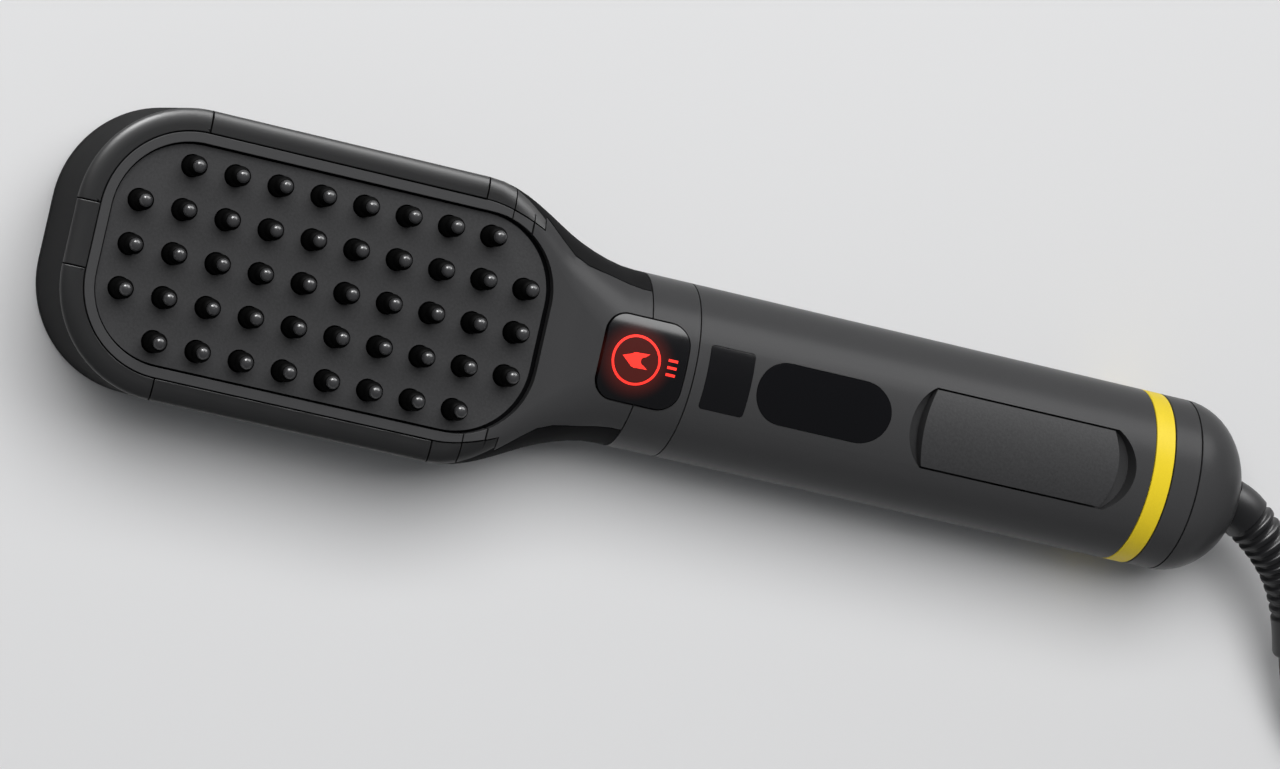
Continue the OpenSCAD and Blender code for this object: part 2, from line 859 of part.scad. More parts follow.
module button_switch() {
  z = button_board_z + board_t;
  color("black") from_tip() translate([pad_s, 0, z]) difference() {
    translate([-6, -6, 0]) cube([12, 12, switch_h]);
    translate([0, 0, switch_h - plunger_in - pad_travel - 0.4])
      cylinder(h = far, d = plunger_d + 2 * run);
  }
}

module power_button() {
  color("black") from_tip() difference() {
    intersection() {
      translate([pad_s, 0, pad_z]) linear_extrude(far) round_rect(pad_w, pad_w, pad_r);
      rod(0, total_len, grip_d + 2 * pad_proud);
    }
    lens_cut(0.02);
  }
}

// The lit marks: a ring with a small flame in it, and three level bars
lens_d = 0.5;

module flame_2d() {
  difference() {
    union() {
      circle(1.75);
      polygon([[-3.3, 0.5], [-1.3, -1.2], [0.6, -0.6], [0.4, 1.3], [-1.2, 1.25]]);
      polygon([[2.9, 1.9], [0.2, 1.7], [0.6, 0], [2, 1.1]]);
      polygon([[2.9, -1.6], [0.2, -1.7], [0.6, 0], [1.9, -0.9]]);
    }
    translate([2, 0.1]) circle(0.95);
  }
}

module lens_2d() {
  translate([-2, 0]) {
    difference() {
      circle(lens_r);
      circle(lens_r - 0.55);
    }
    flame_2d();
  }
  for (k = [-1, 0, 1])
    translate([6.4, 1.6 * k]) square([2.2, 0.6], center = true);
}

module lens_cut(grow) {
  difference() {
    translate([pad_s, 0, axis_z]) linear_extrude(far) lens_2d();
    rod(0, total_len, grip_d + 2 * pad_proud - 2 * lens_d);
  }
}

module indicator_lens() {
  color("red") from_tip() intersection() {
    lens_cut(0);
    rod(0, total_len, grip_d + 2 * pad_proud);
  }
}

module button_plunger() {
  z = button_board_z + board_t + switch_h - plunger_in;
  color("white") from_tip() translate([pad_s, 0, z]) cylinder(h = pad_z - z, d = plunger_d);
}

// ------------------------------------------------------------------- handle

module recess_2d(grow = 0) {
  bowed(recess_len + 2 * grow, recess_w + 2 * grow, recess_end_r + grow);
}

module handle_shell() {
  s0 = collar_s + seam / 2;
  s1 = grip_s - seam / 2;
  color("dimgray") from_tip() difference() {
    union() {
      difference() {
        rod(s0, s1, grip_d);
        rod(s0 - 1, s1 + 1, 2 * bore_r);
      }
      // Tray under the recess, and the lugs of the hinge pin
      intersection() {
        union() {
          block(recess_s - recess_len / 2 - 2, recess_s + recess_len / 2 + 1.6, -11.5, 11.5,
            rocker_floor - 1.8, far);
          for (side = [-1, 1])
            translate([recess_s, side * (recess_w / 2 + 2.2), hinge_z]) {
              rotate([90, 0, 0]) cylinder(h = 2.4, d = hinge_d + 4, center = true);
              translate([-(hinge_d + 4) / 2, -1.2, 0]) cube([hinge_d + 4, 2.4, 5]);
            }
        }
        rod(s0, s1, 2 * bore_r + 0.6);
      }
    }
    translate([recess_s, 0, rocker_floor]) linear_extrude(far) recess_2d();
    // Slot in the tray's floor for the hub and the legs
    translate([recess_s, 0, axis_z]) linear_extrude(far)
      stadium(2 * leg_off + leg_d + 3, leg_d + 3);
    block(recess_s - hub_d / 2 - 1, recess_s + hub_d / 2 + 1,
      -recess_w / 2, recess_w / 2, axis_z, far);
    translate([recess_s, 0, hinge_z]) rotate([90, 0, 0])
      cylinder(h = 30, d = hinge_d + 0.04, center = true);
    translate([window_s, 0, axis_z]) linear_extrude(far)
      stadium(window_len + 0.2, window_w + 0.2);
    difference() {
      translate([inlay_s, 0, axis_z]) linear_extrude(far)
        round_rect(inlay_len + 0.2, inlay_w + 0.2, 0.9);
      rod(0, total_len, grip_d - 1.26);
    }
  }
}

module inlay_plate() {
  color("black") from_tip() difference() {
    intersection() {
      translate([inlay_s, 0, axis_z]) linear_extrude(far) round_rect(inlay_len, inlay_w, 0.8);
      rod(0, total_len, grip_d + 0.1);
    }
    rod(0, total_len, grip_d - 1.2);
  }
}

module display_window() {
  color("black") from_tip() difference() {
    intersection() {
      translate([window_s, 0, axis_z]) linear_extrude(far) stadium(window_len, window_w);
      rod(0, total_len, grip_d + 0.1);
    }
    rod(0, total_len, grip_d - 2 * grip_wall + 0.6);
  }
}

module display_module() {
  color("darkgreen") from_tip() {
    block(window_s - 15, window_s + 15, -6.2, 6.2, axis_z + 12, axis_z + 16);
    for (s = [window_s - 13, window_s + 13])
      for (y = [-5, 5])
        translate([s, y, board_z + board_t]) cylinder(h = axis_z + 12 - board_z - board_t, d = 2.4);
  }
}

module chassis() {
  color("tan") from_tip() {
    difference() {
      block(chassis_s0, chassis_s1, -chassis_w / 2, chassis_w / 2, chassis_z, chassis_z + chassis_t);
      block(recess_s - 10, recess_s + 10, -5, 5, 0, far);
    }
    for (s = [collar_s + 12, collar_s + 46])
      for (y = [-10, 10])
        translate([s, y, chassis_z + chassis_t - eps]) cylinder(h = post_h + eps, d = 4);
    for (s = [recess_s - 18, recess_s + 18])
      for (y = [-6, 6])
        translate([s, y, chassis_z + chassis_t - eps])
          cylinder(h = rocker_board_z - chassis_z - chassis_t + eps, d = 4);
  }
}

module control_board() {
  z = board_z + board_t;
  color("green") from_tip() {
    block(collar_s + 8, collar_s + 50, -12.5, 12.5, board_z, z);
    for (side = [-1, 1])
      block(collar_s + 9, collar_s + 14, side * wire_y - 2, side * wire_y + 2, z - eps, axis_z + 1.6);
    block(collar_s + 20, collar_s + 30, -3, 3, z - eps, z + 2.4);
  }
}

module steam_rocker() {
  color("gray") from_tip() difference() {
    union() {
      intersection() {
        translate([recess_s - 0.5, 0, rocker_low]) linear_extrude(far)
          bowed(rocker_len, recess_w - 2 * rocker_gap, rocker_end_r);
        rod(0, total_len, grip_d - 0.2);
      }
      translate([recess_s, 0, hinge_z]) rotate([90, 0, 0])
        cylinder(h = recess_w - 2 * rocker_gap, d = hub_d, center = true);
      block(recess_s - hub_d / 2, recess_s + hub_d / 2,
        -recess_w / 2 + rocker_gap, recess_w / 2 - rocker_gap, hinge_z, rocker_low + 1);
      for (x = [-1, 1])
        translate([recess_s + x * leg_off, 0, leg_z])
          cylinder(h = rocker_low + 1 - leg_z, d = leg_d);
    }
    translate([recess_s, 0, hinge_z]) rotate([90, 0, 0])
      cylinder(h = 30, d = hinge_d + 2 * run, center = true);
  }
}
leg_z = rocker_board_z + board_t + rocker_switch_h + leg_air;

module rocker_pin() {
  color("silver") from_tip() translate([recess_s, 0, hinge_z]) rotate([90, 0, 0])
    cylinder(h = recess_w + 6.6, d = hinge_d, center = true);
}

module rocker_board() {
  color("green") from_tip()
    block(recess_s - 22, recess_s + 22, -9, 9, rocker_board_z, rocker_board_z + board_t);
}

module rocker_switches() {
  z = rocker_board_z + board_t;
  color("black") from_tip() for (x = [-1, 1]) translate([recess_s + x * leg_off, 0, z]) {
    translate([-3, -3, 0]) cube([6, 6, rocker_switch_h - 1.2]);
    cylinder(h = rocker_switch_h, d = 3);
  }
}

// --------------------------------------------------------------------- tail

module accent_ring() {
  color("gold") from_tip() difference() {
    rod(grip_s + seam / 2, ring_s - seam / 2, grip_d);
    rod(grip_s, ring_s, 2 * bore_r);
  }
}

module end_band() {
  color("dimgray") from_tip() difference() {
    rod(ring_s + seam / 2, band_s - seam / 2, grip_d);
    rod(ring_s, band_s, 2 * bore_r);
  }
}

exit_dir = unit(sleeve_route[1] - sleeve_route[0]);
exit_turn = atan2(exit_dir[1], exit_dir[0]);

// A straight hole or rod along the cord's way out
module along_exit(back, ahead, d) {
  translate(sleeve_route[0]) rotate([0, 90, exit_turn])
    translate([0, 0, -back]) cylinder(h = back + ahead, d = d);
}

module end_dome() {
  steps = 16;
  s0 = band_s + seam / 2;
  outer = [for (k = [0:steps]) let(a = 90 * k / steps)
    [grip_r * cos(a), (dome_len - seam / 2) * sin(a)]];
  inner = [for (k = [steps:-1:0]) let(a = 90 * k / steps)
    [bore_r * cos(a), (dome_len - seam / 2 - grip_wall) * sin(a)]];
  color("gray") difference() {
    from_tip() translate([s0, 0, axis_z]) rotate([0, 90, 0])
      rotate_extrude() polygon(concat(outer, inner));
    along_exit(12, 12, sleeve_d + 0.2);
  }
}

module cord_clamp() {
  color("black") difference() {
    from_tip() block(band_s - 6, band_s + 1, -10, 10, axis_z - 14.2, axis_z + 6);
    along_exit(far, 0, cord_d + 2);
  }
}

// Sleeve: an anchor flange inside the dome, a plain collar, ribs and a plain end
anchor_r = cord_d / 2 + 0.8;
flange_r = sleeve_d / 2 + 2;
anchor = [
  [22, anchor_r], [10.5, anchor_r], [10.5, flange_r], [8, flange_r], [8, anchor_r], [0.6, anchor_r]
];
sleeve_curve = curve(sleeve_route, 9);
sleeve_last = len(sleeve_curve) - 1;
sleeve_path = concat([for (a = anchor) sleeve_route[0] - a[0] * exit_dir], sleeve_curve);

function sleeve_r(i) =
  let(
    t = i / sleeve_last,
    taper = mix(sleeve_d, sleeve_end_d, smooth((t - 0.05) / 0.65)) / 2,
    u = (t - 0.2) / 0.6,
    in_ribs = u > 0 && u < 1,
    wave = in_ribs ? 0.5 - 0.5 * cos(360 * u * sleeve_ribs) : 0
  )
  t > 0.99 ? taper - 1.1 : t > 0.97 ? taper - 0.35 : taper - 1 * wave;

module strain_relief() {
  n = 12;
  radii = concat([for (a = anchor) a[1]], [for (i = [0:sleeve_last]) sleeve_r(i)]);
  rings = len(radii);
  color("black") polyhedron(
    points = [for (i = [0:rings - 1]) each tube_ring(sleeve_path, i, radii[i], n)],
    faces = concat(ring_faces(rings, n), cap_faces(rings, n)),
    convexity = 6
  );
}

// --------------------------------------------------------------------- cord

module cord() {
  color("black") tube(curve(cord_route, 4), cord_d / 2, cord_sides);
}

module cord_coil() {
  color("black") tube(coil_path, cord_d / 2, coil_sides);
}

module cord_tail() {
  color("black") tube(curve(tail_route, 3), cord_d / 2, cord_sides);
}

// A flat strap round the coil's turns, clear of the plug
module cord_tie() {
  gap = 0.3;
  turn = 0.42;
  in_r = coil_radius(coil_half + turn) - cord_d / 2 - gap;
  out_r = coil_r + cord_d / 2 + gap;
  top = coil_top + gap;
  color("dimgray") translate([coil_at[0], coil_at[1], 0]) rotate([90, 0, 360 * turn - 90])
    translate([0, 0, -tie_w / 2]) linear_extrude(tie_w) difference() {
      translate([in_r - tie_t, 0]) square([out_r - in_r + 2 * tie_t, top + tie_t]);
      translate([in_r, tie_t]) square([out_r - in_r, top - tie_t]);
    }
}

tail_end = tail_route[len(tail_route) - 1];
plug_turn = 0;

module at_plug() {
  translate(tail_end + [0.4, 0, 0]) rotate([0, 0, plug_turn]) children();
}

// A flat two-pin plug: a tapered grip that widens to the pin face
module plug() {
  color("black") at_plug() {
    translate([0, 0, -plug_t / 2]) linear_extrude(plug_t) polygon([
      [10, -plug_grip_w / 2], [22, -plug_w / 2], [10 + plug_len, -plug_w / 2 + 3],
      [10 + plug_len, plug_w / 2 - 3], [22, plug_w / 2], [10, plug_grip_w / 2]
    ]);
    rotate([0, 90, 0]) cylinder(h = 10 + eps, d1 = plug_neck_w - 2, d2 = plug_neck_w);
  }
}

module plug_pins() {
  color("silver") at_plug() for (side = [-1, 1])
    translate([10 + plug_len, side * plug_pin_gap / 2, 0]) rotate([0, 90, 0]) {
      cylinder(h = plug_pin_len - plug_pin_d / 2, d = plug_pin_d);
      translate([0, 0, plug_pin_len - plug_pin_d / 2]) sphere(d = plug_pin_d, $fn = 24);
    }
}

// ------------------------------------------------------------------ drawing

rear_cover();
case_screws();
head_housing();
filler_plug();
rim_tip();
rim_corner_left();
rim_corner_right();
rim_rail_left();
rim_rail_right();
rim_shoulder_left();
rim_shoulder_right();
rim_end_left();
rim_end_right();
bezel();
bezel_end_left();
bezel_end_right();
neck_cover();
face_panel();
heat_base();
heat_pins();
pin_tips();
heater();
thermal_fuse();
steam_chamber();
insulator_sheet();
water_tank();
feed_tube();
steam_tube();
steam_pump();
heater_wires();
collar();
button_board();
button_switch();
power_button();
indicator_lens();
button_plunger();
handle_shell();
chassis();
control_board();
display_module();
inlay_plate();
display_window();
steam_rocker();
rocker_pin();
rocker_board();
rocker_switches();
accent_ring();
end_band();
end_dome();
cord_clamp();
strain_relief();
cord();
cord_coil();
cord_tail();
cord_tie();
plug();
plug_pins();
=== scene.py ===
"""Scene of a steam hair straightener brush lying face up on a pale surface.

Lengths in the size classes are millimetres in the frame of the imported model:
X runs from the tip to the tail, Y across, Z up.
"""

import json
import logging
import math
from dataclasses import dataclass
from enum import Enum
from typing import Dict, List, Optional, Sequence, Tuple

import bpy
from mathutils import Matrix, Vector


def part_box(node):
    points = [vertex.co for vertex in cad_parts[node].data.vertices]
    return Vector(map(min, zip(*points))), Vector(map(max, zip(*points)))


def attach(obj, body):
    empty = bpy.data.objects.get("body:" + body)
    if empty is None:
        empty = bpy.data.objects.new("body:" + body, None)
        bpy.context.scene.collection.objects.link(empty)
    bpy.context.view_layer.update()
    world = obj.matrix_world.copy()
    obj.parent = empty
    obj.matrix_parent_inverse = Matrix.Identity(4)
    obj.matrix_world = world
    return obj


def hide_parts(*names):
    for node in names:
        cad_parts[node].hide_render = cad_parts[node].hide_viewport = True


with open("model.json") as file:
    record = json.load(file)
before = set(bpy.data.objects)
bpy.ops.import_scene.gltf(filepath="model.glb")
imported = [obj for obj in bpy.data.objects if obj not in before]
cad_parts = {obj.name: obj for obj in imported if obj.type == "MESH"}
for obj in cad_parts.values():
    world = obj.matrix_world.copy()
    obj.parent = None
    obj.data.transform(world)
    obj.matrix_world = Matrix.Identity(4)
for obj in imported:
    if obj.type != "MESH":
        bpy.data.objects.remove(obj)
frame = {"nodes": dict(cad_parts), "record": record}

MM = 0.001
MAIN_BODY = "brush"
Point = Tuple[float, float, float]
Colour = Tuple[float, float, float]
Shape = Tuple[list, list]

logging.basicConfig(level=logging.INFO, format="%(name)s: %(message)s")


class Surface(Enum):
    """Kinds of surface pattern."""

    MOULDED = "moulded"
    BRUSHED = "brushed"


# --------------------------------------------------------- curves and meshes


def mix(a: float, b: float, t: float) -> float:
    """Returns the value between a and b at t.

    Args:
        a: Value at t = 0.
        b: Value at t = 1.
        t: Share of the way.

    Returns:
        The interpolated value.
    """
    return a + (b - a) * t


def smooth(t: float) -> float:
    """Returns a smooth step from 0 to 1.

    Args:
        t: Input, held between 0 and 1.

    Returns:
        The eased value.
    """
    u = max(0.0, min(1.0, t))
    return u * u * (3 - 2 * u)


def curve(points: Sequence[Point], steps: int) -> List[Vector]:
    """Returns a Catmull-Rom curve through the points.

    Args:
        points: Given points of the route.
        steps: Steps in a span.

    Returns:
        Points of the curve, in the same unit.
    """
    p = [Vector(q) for q in points]
    last = len(p) - 1
    out: List[Vector] = []
    for i in range(last):
        a, b, c, d = p[max(i - 1, 0)], p[i], p[i + 1], p[min(i + 2, last)]
        for k in range(steps):
            t = k / steps
            out.append(
                0.5 * (2 * b + (c - a) * t + (2 * a - 5 * b + 4 * c - d) * t * t
                       + (3 * b - a - 3 * c + d) * t ** 3)
            )
    out.append(p[last])
    return out


def length_of(points: Sequence[Vector]) -> float:
    """Returns the length of a line through the points.

    Args:
        points: Points in order.

    Returns:
        Their line's length.
    """
    return sum((b - a).length for a, b in zip(points, points[1:]))


def sweep(points: Sequence[Vector], radii: Sequence[float], sides: int) -> Shape:
    """Returns a round tube with closed ends.

    Args:
        points: Centreline.
        radii: Radius at each point.
        sides: Sides of the tube.

    Returns:
        Vertices and faces, with the normals outwards.
    """
    verts: List[Vector] = []
    faces: List[Tuple[int, ...]] = []
    last = len(points) - 1
    for i, (p, r) in enumerate(zip(points, radii)):
        way = (points[min(i + 1, last)] - points[max(i - 1, 0)]).normalized()
        side = way.cross(Vector((0, 0, 1))).normalized()
        up = side.cross(way)
        for j in range(sides):
            a = 2 * math.pi * (j + 0.5) / sides
            verts.append(p + r * (math.cos(a) * side + math.sin(a) * up))
    for i in range(last):
        for j in range(sides):
            a, b = i * sides + j, i * sides + (j + 1) % sides
            faces.append((a, a + sides, b + sides, b))
    faces.append(tuple(range(sides)))
    faces.append(tuple(last * sides + j for j in reversed(range(sides))))
    return verts, faces


def turned(profile: Sequence[Tuple[float, float]], sides: int) -> Shape:
    """Returns a solid turned about Z.

    Args:
        profile: Radius and height pairs from the bottom up, off the axis.
        sides: Sides of the solid.

    Returns:
        Vertices and faces, with the normals outwards.
    """
    verts: List[Point] = []
    faces: List[Tuple[int, ...]] = []
    for r, z in profile:
        for j in range(sides):
            a = 2 * math.pi * j / sides
            verts.append((r * math.cos(a), r * math.sin(a), z))
    for i in range(len(profile) - 1):
        for j in range(sides):
            a, b = i * sides + j, i * sides + (j + 1) % sides
            faces.append((a, b, b + sides, a + sides))
    top = (len(profile) - 1) * sides
    faces.append(tuple(reversed(range(sides))))
    faces.append(tuple(top + j for j in range(sides)))
    return verts, faces


def add_object(name: str, mesh: bpy.types.Mesh) -> bpy.types.Object:
    """Puts a mesh into the scene as an object.

    Args:
        name: Name of the object.
        mesh: Its mesh.

    Returns:
        The object.
    """
    obj = bpy.data.objects.new(name, mesh)
    bpy.context.scene.collection.objects.link(obj)
    return obj


def make_object(name: str, shape: Shape, sharp: float = 35.0) -> bpy.types.Object:
    """Makes a smooth shaded mesh object, with its place in its mesh.

    Args:
        name: Name of the piece.
        shape: Vertices in mm, and faces.
        sharp: Angle in degrees above which an edge stays sharp.

    Returns:
        The object, in the scene.
    """
    verts, faces = shape
    mesh = bpy.data.meshes.new(name)
    mesh.from_pydata([tuple(Vector(v) * MM) for v in verts], [], list(faces))
    mesh.validate()
    mesh.shade_smooth()
    mesh.set_sharp_from_angle(angle=math.radians(sharp))
    return add_object(name, mesh)


def add_group_modifier(obj: bpy.types.Object, name: str, group: bpy.types.NodeTree,
                       inputs: Dict[str, object]) -> None:
    """Puts a geometry group on an object and sets its inputs.

    Args:
        obj: Object to change.
        name: Name of the modifier.
        group: Geometry group.
        inputs: Input names with their values.
    """
    modifier = obj.modifiers.new(name, "NODES")
    modifier.node_group = group
    ids = {item.name: item.identifier for item in group.interface.items_tree
           if item.in_out == "INPUT"}
    for key, value in inputs.items():
        modifier[ids[key]] = value


# -------------------------------------------------------------------- groups


def new_group(name: str, kind: str, inputs: Dict[str, str],
              outputs: Dict[str, str]) -> bpy.types.NodeTree:
    """Makes an empty node group.

    Args:
        name: Name of the group.
        kind: Kind of tree.
        inputs: Input names with their kinds of socket.
        outputs: Output names with their kinds of socket.

    Returns:
        The group's tree.
    """
    tree = bpy.data.node_groups.new(name, kind)
    for way, sockets in (("INPUT", inputs), ("OUTPUT", outputs)):
        for key, socket in sockets.items():
            tree.interface.new_socket(
                key, in_out=way, socket_type="NodeSocket" + socket)
    return tree


class NodeMaker:
    """Adds nodes and links to a tree in few words."""

    def __init__(self, tree: bpy.types.NodeTree) -> None:
        """Keeps the tree.

        Args:
            tree: Tree to fill.
        """
        self.tree = tree

    def add(self, kind: str, links: Optional[Dict[object, object]] = None,
            **settings: object) -> bpy.types.Node:
        """Adds a node.

        Args:
            kind: Node type.
            links: Input names or numbers with a socket to link or a value to set.
            settings: Properties of the node.

        Returns:
            The node.
        """
        node = self.tree.nodes.new(kind)
        for key, value in settings.items():
            setattr(node, key, value)
        for key, value in (links or {}).items():
            if isinstance(value, bpy.types.NodeSocket):
                self.tree.links.new(value, node.inputs[key])
            else:
                node.inputs[key].default_value = value
        return node

    def maths(self, operation: str, *values: object) -> bpy.types.NodeSocket:
        """Adds a Math node.

        Args:
            operation: Name of the operation.
            values: Sockets or numbers.

        Returns:
            The result's socket.
        """
        node = self.add("ShaderNodeMath", dict(enumerate(values)), operation=operation)
        return node.outputs[0]

    def noise(self, where: bpy.types.NodeSocket, scale: object, detail: float,
              roughness: float = 0.5) -> bpy.types.NodeSocket:
        """Adds a noise texture.

        Args:
            where: Coordinates.
            scale: Scale, as a socket or a number.
            detail: Levels of detail.
            roughness: Strength of the fine levels.

        Returns:
            The noise's socket, around 0.5.
        """
        return self.add("ShaderNodeTexNoise", {
            "Vector": where, "Scale": scale, "Detail": detail,
            "Roughness": roughness}).outputs[0]


@dataclass(frozen=True)
class Pattern:
    """How one kind of surface varies.

    Attributes:
        name: Name of the shader group.
        stretch: Scales of the grain along X, Y and Z.
        grain_detail: Levels of detail of the grain.
        grain_roughness: Strength of the grain's fine levels.
        cloud_detail: Levels of detail of the clouds.
        rough_by_grain: Share of the grain in the roughness.
        rough_by_cloud: Share of the clouds in the roughness.
    """

    name: str
    stretch: Point
    grain_detail: float
    grain_roughness: float
    cloud_detail: float
    rough_by_grain: float
    rough_by_cloud: float


PATTERNS = {
    Surface.MOULDED: Pattern(
        "Moulded surface", stretch=(1.0, 1.0, 1.0), grain_detail=2.0,
        grain_roughness=0.6, cloud_detail=3.0, rough_by_grain=0.0, rough_by_cloud=0.8),
    Surface.BRUSHED: Pattern(
        "Brushed surface", stretch=(0.05, 1.0, 1.0), grain_detail=3.0,
        grain_roughness=0.5, cloud_detail=2.0, rough_by_grain=0.6, rough_by_cloud=0.0),
}


def pattern_group(pattern: Pattern) -> bpy.types.NodeTree:
    """Makes the shader group of a surface: fine grain and soft clouds.

    Args:
        pattern: How the surface varies.

    Returns:
        The group, with Base Color, Roughness and Height.
    """
    tree = new_group(
        pattern.name, "ShaderNodeTree",
        {"Color": "Color", "Roughness": "Float", "Grain Scale": "Float",
         "Grain Colour": "Float", "Cloud Scale": "Float", "Cloud Amount": "Float"},
        {"Base Color": "Color", "Roughness": "Float", "Height": "Float"})
    make = NodeMaker(tree)
    given = make.add("NodeGroupInput").outputs
    where = make.add("ShaderNodeTexCoord").outputs["Object"]
    stretched = make.add("ShaderNodeMapping", {
        "Vector": where, "Scale": pattern.stretch}).outputs[0]
    grain = make.noise(stretched, given["Grain Scale"], pattern.grain_detail,
                       pattern.grain_roughness)
    cloud = make.noise(where, given["Cloud Scale"], pattern.cloud_detail)
    lift = make.maths("SUBTRACT", grain, 0.5)
    lift = make.maths("MULTIPLY", lift, given["Grain Colour"])
    veil = make.maths("SUBTRACT", cloud, 0.5)
    veil = make.maths("MULTIPLY", veil, given["Cloud Amount"])
    gain = make.maths("ADD", make.maths("ADD", lift, veil), 1.0)
    colour = make.add("ShaderNodeVectorMath", {0: given["Color"], 3: gain},
                      operation="SCALE").outputs[0]
    rough = make.maths("ADD", make.maths("MULTIPLY", lift, pattern.rough_by_grain),
                       make.maths("MULTIPLY", veil, pattern.rough_by_cloud))
    make.add("NodeGroupOutput", {
        "Base Color": colour, "Roughness": make.maths("ADD", given["Roughness"], rough),
        "Height": grain})
    return tree


# ----------------------------------------------------------------- materials


@dataclass(frozen=True)
class Finish:
    """Finish of one material slot.

    Attributes:
        slot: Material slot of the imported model.
        colour: Base colour.
        roughness: Mean roughness.
        surface: Kind of pattern.
        grain_scale: Scale of the grain.
        grain_colour: Strength of the grain in the colour.
        bump: Depth of the grain in mm.
        cloud: Strength of the soft clouds.
        cloud_scale: Scale of the soft clouds.
        metallic: Metallic value.
        specular: Specular level.
        glow: Emission strength of the base colour.
        clear: Transmission weight.
    """

    slot: str
    colour: Colour
    roughness: float
    surface: Surface = Surface.MOULDED
    grain_scale: float = 2600.0
    grain_colour: float = 0.12
    bump: float = 0.01
    cloud: float = 0.06
    cloud_scale: float = 40.0
    metallic: float = 0.0
    specular: float = 0.5
    glow: float = 0.0
    clear: float = 0.0


FINISHES = (
    Finish("shell_black", (0.004, 0.004, 0.0045), 0.7, bump=0.012, specular=0.06),
    Finish("rim_satin", (0.016, 0.016, 0.0165), 0.4, bump=0.006),
    Finish("bezel_grey", (0.06, 0.06, 0.0615), 0.5, bump=0.008, specular=0.12),
    Finish("neck_satin", (0.054, 0.054, 0.0555), 0.3, specular=0.07),
    Finish("panel_grey", (0.05, 0.05, 0.0515), 0.62, grain_scale=1700.0,
           grain_colour=0.5, bump=0.03, specular=0.15),
    Finish("handle_satin", (0.058, 0.058, 0.0595), 0.3, specular=0.06),
    Finish("gloss_black", (0.006, 0.006, 0.007), 0.16, bump=0.002, specular=0.4),
    Finish("window_gloss", (0.003, 0.003, 0.004), 0.06, bump=0.0005, cloud=0.2),
    Finish("pin_black", (0.002, 0.002, 0.002), 0.6, bump=0.001, specular=0.03),
    Finish("tip_grey", (0.045, 0.045, 0.047), 0.28, bump=0.001),
    Finish("lens_red", (1.0, 0.035, 0.025), 0.4, bump=0.001, specular=0.1, glow=0.9),
    Finish("ring_yellow", (0.9, 0.68, 0.03), 0.4, bump=0.004, specular=0.1),
    Finish("aluminium", (0.6, 0.6, 0.62), 0.4, Surface.BRUSHED, metallic=1.0),
    Finish("steel", (0.55, 0.55, 0.57), 0.26, Surface.BRUSHED, metallic=1.0),
    Finish("ceramic", (0.75, 0.72, 0.66), 0.55),
    Finish("tank_plastic", (0.5, 0.55, 0.6), 0.2, clear=0.6),
    Finish("tube_silicone", (0.6, 0.6, 0.58), 0.45),
    Finish("pump_plastic", (0.02, 0.02, 0.021), 0.45),
    Finish("wire_red", (0.4, 0.03, 0.03), 0.45),
    Finish("board_green", (0.02, 0.12, 0.05), 0.35, cloud=0.2),
    Finish("rubber_black", (0.02, 0.02, 0.02), 0.7),
    Finish("sleeve_rubber", (0.013, 0.013, 0.014), 0.4, bump=0.006),
    Finish("cord_black", (0.013, 0.013, 0.014), 0.42),
    Finish("plug_black", (0.016, 0.016, 0.017), 0.45),
)


@dataclass(frozen=True)
class Halo:
    """Faint light of the lit ring on the pad round it.

    Attributes:
        off: Distance of the ring's middle from the pad's, along the brush.
        inner: Radius up to which the light is full.
        outer: Radius at which it ends.
        colour: Its colour at full strength.
    """

    off: float = -2.0
    inner: float = 4.0
    outer: float = 9.5
    colour: Colour = (0.075, 0.008, 0.005)


